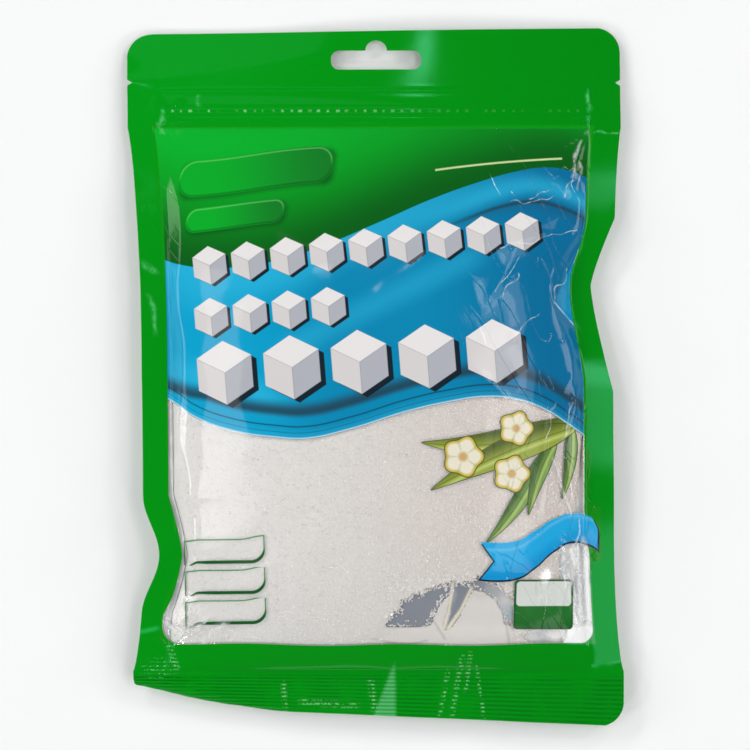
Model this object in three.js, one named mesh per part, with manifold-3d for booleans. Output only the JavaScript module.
// A flat resealable pouch filled with granulated sugar, lying on its back with its printed front up.
// Millimetres. X runs across the pouch, Y towards the hanging slot, Z up from the surface it lies on.
import * as THREE from 'three';
import { mergeVertices } from 'three/addons/utils/BufferGeometryUtils.js';
import Module from 'manifold-3d';

// Driving dimensions of the flat film
const TOP_Y = 112.2;
const BOTTOM_Y = -109.7;
const TOP_HALF_WIDTH = 80;
const BOTTOM_HALF_WIDTH = 79.3;
const SIDE_SEAL = 9.7;
const SEAL_THICKNESS = 0.7;
const TOP_EDGE_SLOPE = 0.013;
const BOTTOM_EDGE_SLOPE = -0.044;
const LEAN_TOP = -0.6;
const LEAN_BOTTOM = 1.2;

// The filled part, between the zip and the ribbed bottom seal
const FILL_TOP_Y = 80.5;
const FILL_BOTTOM_Y = -95.4;
const FILL_RISE = 13.5;
const PLATEAU_START = 0.42;
const PLATEAU_END = 0.72;
const BACK_FLATNESS = 1.5;
const PULL_IN_LEFT = 4;
const PULL_IN_RIGHT = 3;

// The dents where each side seal has buckled
const LEFT_DENT = { y: -57.5, depth: 5.2, above: 19, below: 19 };
const RIGHT_DENT = { y: 29.3, depth: 7.2, above: 22, below: 34 };
const LEFT_DENT_LIFT = 2.6;
const RIGHT_DENT_LIFT = -2.4;

// Press-to-close zip: a tape with two beads along it
const ZIP_BAND = { top: 93.4, bottom: 80.5, rise: 0.3 };
const ZIP_BEADS = [87, 84.4];
const ZIP_BEAD_RISE = 0.55;
const ZIP_BEAD_HALF = 0.8;

// Crimped ribs of the bottom seal
const RIB_TOP_Y = -96.6;
const RIB_PITCH = 1.25;
const RIB_COUNT = 10;
const RIB_RISE = 0.18;

// Cut-outs
const SLOT = { x: 0.3, bottom: 99.6, width: 29.3, height: 6.2, end: 2.6, humpHalf: 3.5, hump: 3.3 };
const NOTCH = { y: 95.3, depth: 1.6, half: 1.1 };
const CORNER_RADIUS = 8;

// The lower left corner curls under about this line
const CURL_LEFT = new THREE.Vector2(-78.5, -97.6);
const CURL_RIGHT = new THREE.Vector2(-42.1, -104.9);
const CURL_RADIUS = 2;

const CELLS_ACROSS = 28;
const FILL_ROWS = 38;
const GREEN = 0x089a10;

// Height of the seam plane above the surface, at stations along the pouch
const SEAM_HEIGHTS = [
  [TOP_Y, 2.2],
  [ZIP_BAND.top, 3.2],
  [FILL_TOP_Y, 4.2],
  [40, 7],
  [-30, 7.5],
  [-80, 6.6],
  [FILL_BOTTOM_Y, 5.8],
  [BOTTOM_Y, 5],
];

const ease = (t) => t * t * (3 - 2 * t);
const clamp01 = (t) => Math.min(1, Math.max(0, t));
const lerp = THREE.MathUtils.lerp;

function seamHeight(y) {
  const next = SEAM_HEIGHTS.findIndex(([station]) => station <= y);
  if (next === 0) return SEAM_HEIGHTS[0][1];
  if (next < 0) return SEAM_HEIGHTS.at(-1)[1];
  const [y0, z0] = SEAM_HEIGHTS[next - 1];
  const [y1, z1] = SEAM_HEIGHTS[next];
  return lerp(z0, z1, ease((y0 - y) / (y0 - y1)));
}

// How full the pouch is along its length: 0 at the zip and the bottom seal, 1 on the plateau
function fullness(y) {
  const s = (FILL_TOP_Y - y) / (FILL_TOP_Y - FILL_BOTTOM_Y);
  if (s <= 0 || s >= 1) return 0;
  if (s < PLATEAU_START) return (1 - (1 - s / PLATEAU_START) ** 2.2) ** 0.8;
  if (s <= PLATEAU_END) return 1;
  return (1 - ((s - PLATEAU_END) / (1 - PLATEAU_END)) ** 2.4) ** 0.75;
}

// Pillow profile across the pouch, for t from -1 at one side seal to 1 at the other
const pillow = (t) => (1 - Math.min(1, Math.abs(t)) ** 2.6) ** 0.62;

const reach = (dent, y) => Math.abs(y - dent.y) / (y > dent.y ? dent.above : dent.below);
const pointedDent = (dent, y) => dent.depth * (1 - Math.min(1, reach(dent, y)) ** 1.25);
const roundDent = (dent, y) => (dent.depth / 2) * (1 + Math.cos(Math.PI * Math.min(1, reach(dent, y))));

// X of the outer edge and of the seal's inner line, on both sides, at a height y
function sideLines(y) {
  const down = (TOP_Y - y) / (TOP_Y - BOTTOM_Y);
  const centre = lerp(LEAN_TOP, LEAN_BOTTOM, down);
  const half = lerp(TOP_HALF_WIDTH, BOTTOM_HALF_WIDTH, down);
  const full = fullness(y);
  const left = centre - half + PULL_IN_LEFT * full;
  const right = centre + half - PULL_IN_RIGHT * full;
  return {
    leftEdge: left + roundDent(LEFT_DENT, y),
    leftInner: left + SIDE_SEAL + pointedDent(LEFT_DENT, y) * 0.85,
    rightInner: right - SIDE_SEAL - roundDent(RIGHT_DENT, y) * 0.85,
    rightEdge: right - pointedDent(RIGHT_DENT, y),
  };
}

// The seams buckle up or down at the dents, and the header is gently wavy
function seamWave(x, y, side) {
  const dent = side < 0 ? LEFT_DENT : RIGHT_DENT;
  const lift = side < 0 ? LEFT_DENT_LIFT : RIGHT_DENT_LIFT;
  const buckle = (lift * roundDent(dent, y)) / dent.depth;
  const header = clamp01((y - FILL_TOP_Y) / (TOP_Y - FILL_TOP_Y));
  return buckle * Math.abs(side) ** 3 + 0.8 * header * Math.sin(x / 22 + 0.6);
}

function zipRelief(x, y, lines) {
  if (y > ZIP_BAND.top || y < ZIP_BAND.bottom || x <= lines.leftInner || x >= lines.rightInner) return 0;
  const bead = ZIP_BEADS.some((at) => Math.abs(y - at) < ZIP_BEAD_HALF / 2);
  return ZIP_BAND.rise + (bead ? ZIP_BEAD_RISE : 0);
}

function ribWave(y) {
  const along = (RIB_TOP_Y - y) / RIB_PITCH;
  return along < 0 || along > RIB_COUNT ? 0 : -RIB_RISE * Math.cos(2 * Math.PI * along);
}

// Front and back heights of the pouch at one point of its plan
function surfaces(x, y, lines, side) {
  const middle = (lines.leftInner + lines.rightInner) / 2;
  const half = (lines.rightInner - lines.leftInner) / 2;
  const bulge = fullness(y) * pillow((x - middle) / half);
  const seam = seamHeight(y) + seamWave(x, y, side) + ribWave(y);
  const skin = SEAL_THICKNESS / 2 + zipRelief(x, y, lines);
  return {
    front: seam + skin + FILL_RISE * bulge,
    back: (seam - skin) * (1 - Math.min(1, BACK_FLATNESS * bulge)) ** 2,
  };
}

// Rows of the grid: close together at the zip and the ribs, even in the filled part
function rowHeights() {
  const rows = [TOP_Y, 106, 100, 96, ZIP_BAND.top + 0.05, ZIP_BAND.top - 0.4];
  for (const bead of ZIP_BEADS) {
    for (const step of [0.55, 0.38, -0.38, -0.55]) rows.push(bead + step * ZIP_BEAD_HALF * 1.3);
  }
  rows.push(ZIP_BAND.bottom + 0.3, ZIP_BAND.bottom - 0.05);
  for (let i = 1; i < FILL_ROWS; i++) {
    const s = 0.5 - 0.5 * Math.cos((Math.PI * i) / FILL_ROWS);
    rows.push(lerp(ZIP_BAND.bottom, FILL_BOTTOM_Y, lerp(i / FILL_ROWS, s, 0.45)));
  }
  rows.push(FILL_BOTTOM_Y);
  for (let i = 0; i <= 2 * RIB_COUNT; i++) rows.push(RIB_TOP_Y - (i * RIB_PITCH) / 2);
  rows.push(BOTTOM_Y);
  return rows;
}

// One row of points across the pouch, from the left edge to the right edge
function rowPoints(y) {
  const lines = sideLines(y);
  const points = [];
  const add = (x, side) => {
    const topness = clamp01((y - FILL_TOP_Y) / (TOP_Y - FILL_TOP_Y));
    const bottomness = clamp01((FILL_BOTTOM_Y - y) / (FILL_BOTTOM_Y - BOTTOM_Y));
    const slope = TOP_EDGE_SLOPE * topness + BOTTOM_EDGE_SLOPE * bottomness;
    points.push({ x, y: y + slope * x, ...surfaces(x, y, lines, side) });
  };
  add(lines.leftEdge, -1);
  for (let i = 0; i <= CELLS_ACROSS; i++) {
    const even = (2 * i) / CELLS_ACROSS - 1;
    const t = lerp(even, Math.sin((Math.PI / 2) * even), 0.55);
    const side = Math.sign(t) * Math.abs(t) ** 2;
    add(lerp(lines.leftInner, lines.rightInner, (t + 1) / 2), side);
  }
  add(lines.rightEdge, 1);
  return points;
}

// The whole pouch as one closed mesh between its front and its back
function pouchMesh() {
  const rows = rowHeights().map(rowPoints);
  const columns = rows[0].length;
  const positions = [];
  for (const level of ['front', 'back']) {
    for (const row of rows) for (const p of row) positions.push(p.x, p.y, p[level]);
  }
  const backStart = rows.length * columns;
  const at = (row, column, back) => row * columns + column + (back ? backStart : 0);
  const triangles = [];
  const quad = (a, b, c, d) => triangles.push(a, b, c, a, c, d);
  for (let r = 0; r + 1 < rows.length; r++) {
    for (let c = 0; c + 1 < columns; c++) {
      quad(at(r, c), at(r + 1, c), at(r + 1, c + 1), at(r, c + 1));
      quad(at(r, c, true), at(r, c + 1, true), at(r + 1, c + 1, true), at(r + 1, c, true));
    }
    quad(at(r, 0), at(r, 0, true), at(r + 1, 0, true), at(r + 1, 0));
    const last = columns - 1;
    quad(at(r, last), at(r + 1, last), at(r + 1, last, true), at(r, last, true));
  }
  const end = rows.length - 1;
  for (let c = 0; c + 1 < columns; c++) {
    quad(at(0, c), at(0, c + 1), at(0, c + 1, true), at(0, c, true));
    quad(at(end, c), at(end, c, true), at(end, c + 1, true), at(end, c + 1));
  }
  const geometry = new THREE.BufferGeometry();
  geometry.setAttribute('position', new THREE.Float32BufferAttribute(positions, 3));
  geometry.setIndex(triangles);
  return geometry;
}

// A straight-sided cutter that passes through the whole pouch
function cutter(shape) {
  const geometry = new THREE.ExtrudeGeometry(shape, { depth: 60, bevelEnabled: false, curveSegments: 6 });
  return geometry.translate(0, 0, -20);
}

// The hanging slot: a rounded bar with a half-round hump above its middle
function slotShape() {
  const left = SLOT.x - SLOT.width / 2;
  const right = SLOT.x + SLOT.width / 2;
  const top = SLOT.bottom + SLOT.height;
  const shape = new THREE.Shape();
  shape.moveTo(left + SLOT.end, SLOT.bottom);
  shape.lineTo(right - SLOT.end, SLOT.bottom);
  shape.quadraticCurveTo(right, SLOT.bottom, right, SLOT.bottom + SLOT.end);
  shape.lineTo(right, top - SLOT.end);
  shape.quadraticCurveTo(right, top, right - SLOT.end, top);
  shape.lineTo(SLOT.x + SLOT.humpHalf, top);
  shape.absellipse(SLOT.x, top, SLOT.humpHalf, SLOT.hump, 0, Math.PI);
  shape.lineTo(left + SLOT.end, top);
  shape.quadraticCurveTo(left, top, left, top - SLOT.end);
  shape.lineTo(left, SLOT.bottom + SLOT.end);
  shape.quadraticCurveTo(left, SLOT.bottom, left + SLOT.end, SLOT.bottom);
  return shape;
}

// A tear notch that opens outwards on one side
function notchShape(edge, side) {
  const shape = new THREE.Shape();
  shape.moveTo(edge + side * 2, NOTCH.y + NOTCH.half * 2);
  shape.lineTo(edge - side * NOTCH.depth, NOTCH.y);
  shape.lineTo(edge + side * 2, NOTCH.y - NOTCH.half * 2);
  shape.closePath();
  return shape;
}

// What rounding a corner takes away: the square corner less a quarter disc
function cornerShape(x, y, sideX, sideY) {
  const shape = new THREE.Shape();
  const centre = new THREE.Vector2(x - sideX * CORNER_RADIUS, y - sideY * CORNER_RADIUS);
  const from = sideX * sideY > 0 ? 0 : Math.PI / 2;
  const start = Math.atan2(sideY * Math.sin(from), sideX * Math.cos(from));
  shape.moveTo(x + sideX * 3, y + sideY * 3);
  for (let i = 0; i <= 6; i++) {
    const angle = start + (i * Math.PI) / 12;
    const p = [centre.x + CORNER_RADIUS * Math.cos(angle), centre.y + CORNER_RADIUS * Math.sin(angle)];
    if (i === 0) shape.lineTo(...outwards(p, centre));
    shape.lineTo(...p);
    if (i === 6) shape.lineTo(...outwards(p, centre));
  }
  shape.closePath();
  return shape;
}

// A point 3 mm past p, straight away from centre
function outwards(p, centre) {
  const step = 3 / CORNER_RADIUS;
  return [p[0] + (p[0] - centre.x) * step, p[1] + (p[1] - centre.y) * step];
}

// Bends what lies beyond the curl line down and under, with the curl's radius
function curlUnder(geometry) {
  const along = CURL_RIGHT.clone().sub(CURL_LEFT).normalize();
  const out = new THREE.Vector2(along.y, -along.x);
  const position = geometry.getAttribute('position');
  for (let i = 0; i < position.count; i++) {
    const p = new THREE.Vector2(position.getX(i), position.getY(i));
    const past = p.clone().sub(CURL_LEFT).dot(out);
    if (past <= 0 || p.x > CURL_RIGHT.x + 20 || p.y > FILL_BOTTOM_Y) continue;
    const seam = seamHeight(p.y);
    const height = position.getZ(i) - seam;
    const turn = Math.min(past / CURL_RADIUS, Math.PI);
    const straight = Math.max(0, past - Math.PI * CURL_RADIUS);
    const ahead = (CURL_RADIUS + height) * Math.sin(turn) - straight;
    const z = seam - CURL_RADIUS + (CURL_RADIUS + height) * Math.cos(turn);
    position.setXYZ(i, p.x + out.x * (ahead - past), p.y + out.y * (ahead - past), z);
  }
  return geometry;
}

const wasm = await Module();
wasm.setup();

function toSolid(geometry) {
  const bare = geometry.clone();
  bare.deleteAttribute('normal');
  bare.deleteAttribute('uv');
  const merged = mergeVertices(bare, 1e-5);
  return new wasm.Manifold(new wasm.Mesh({
    numProp: 3,
    vertProperties: new Float32Array(merged.getAttribute('position').array),
    triVerts: new Uint32Array(merged.index.array),
  }));
}

function toGeometry(solid) {
  const mesh = solid.getMesh();
  const geometry = new THREE.BufferGeometry();
  geometry.setAttribute('position', new THREE.BufferAttribute(mesh.vertProperties, 3));
  geometry.setIndex(new THREE.BufferAttribute(mesh.triVerts, 1));
  return geometry;
}

// Puts the origin under the middle of the pouch
function centred(geometry) {
  geometry.computeBoundingBox();
  const { min, max } = geometry.boundingBox;
  return geometry.translate(-(min.x + max.x) / 2, -(min.y + max.y) / 2, -min.z);
}

function pouchGeometry() {
  const header = sideLines(NOTCH.y);
  const top = sideLines(TOP_Y);
  const bottom = sideLines(BOTTOM_Y);
  const edgeY = (y, slope, x) => y + slope * x;
  const shapes = [
    slotShape(),
    notchShape(header.leftEdge, -1),
    notchShape(header.rightEdge, 1),
    cornerShape(top.leftEdge, edgeY(TOP_Y, TOP_EDGE_SLOPE, top.leftEdge), -1, 1),
    cornerShape(top.rightEdge, edgeY(TOP_Y, TOP_EDGE_SLOPE, top.rightEdge), 1, 1),
    cornerShape(bottom.rightEdge, edgeY(BOTTOM_Y, BOTTOM_EDGE_SLOPE, bottom.rightEdge), 1, -1),
    cornerShape(bottom.leftEdge, edgeY(BOTTOM_Y, BOTTOM_EDGE_SLOPE, bottom.leftEdge), -1, -1),
  ];
  let solid = toSolid(pouchMesh());
  for (const shape of shapes) solid = solid.subtract(toSolid(cutter(shape)));
  const geometry = centred(curlUnder(toGeometry(solid)));
  geometry.computeVertexNormals();
  return geometry;
}

const film = new THREE.MeshStandardMaterial({ color: GREEN, roughness: 0.3, metalness: 0 });
const pouch = new THREE.Mesh(pouchGeometry(), film);
pouch.name = 'pouch';

const bag = new THREE.Group();
bag.add(pouch);

export default bag;
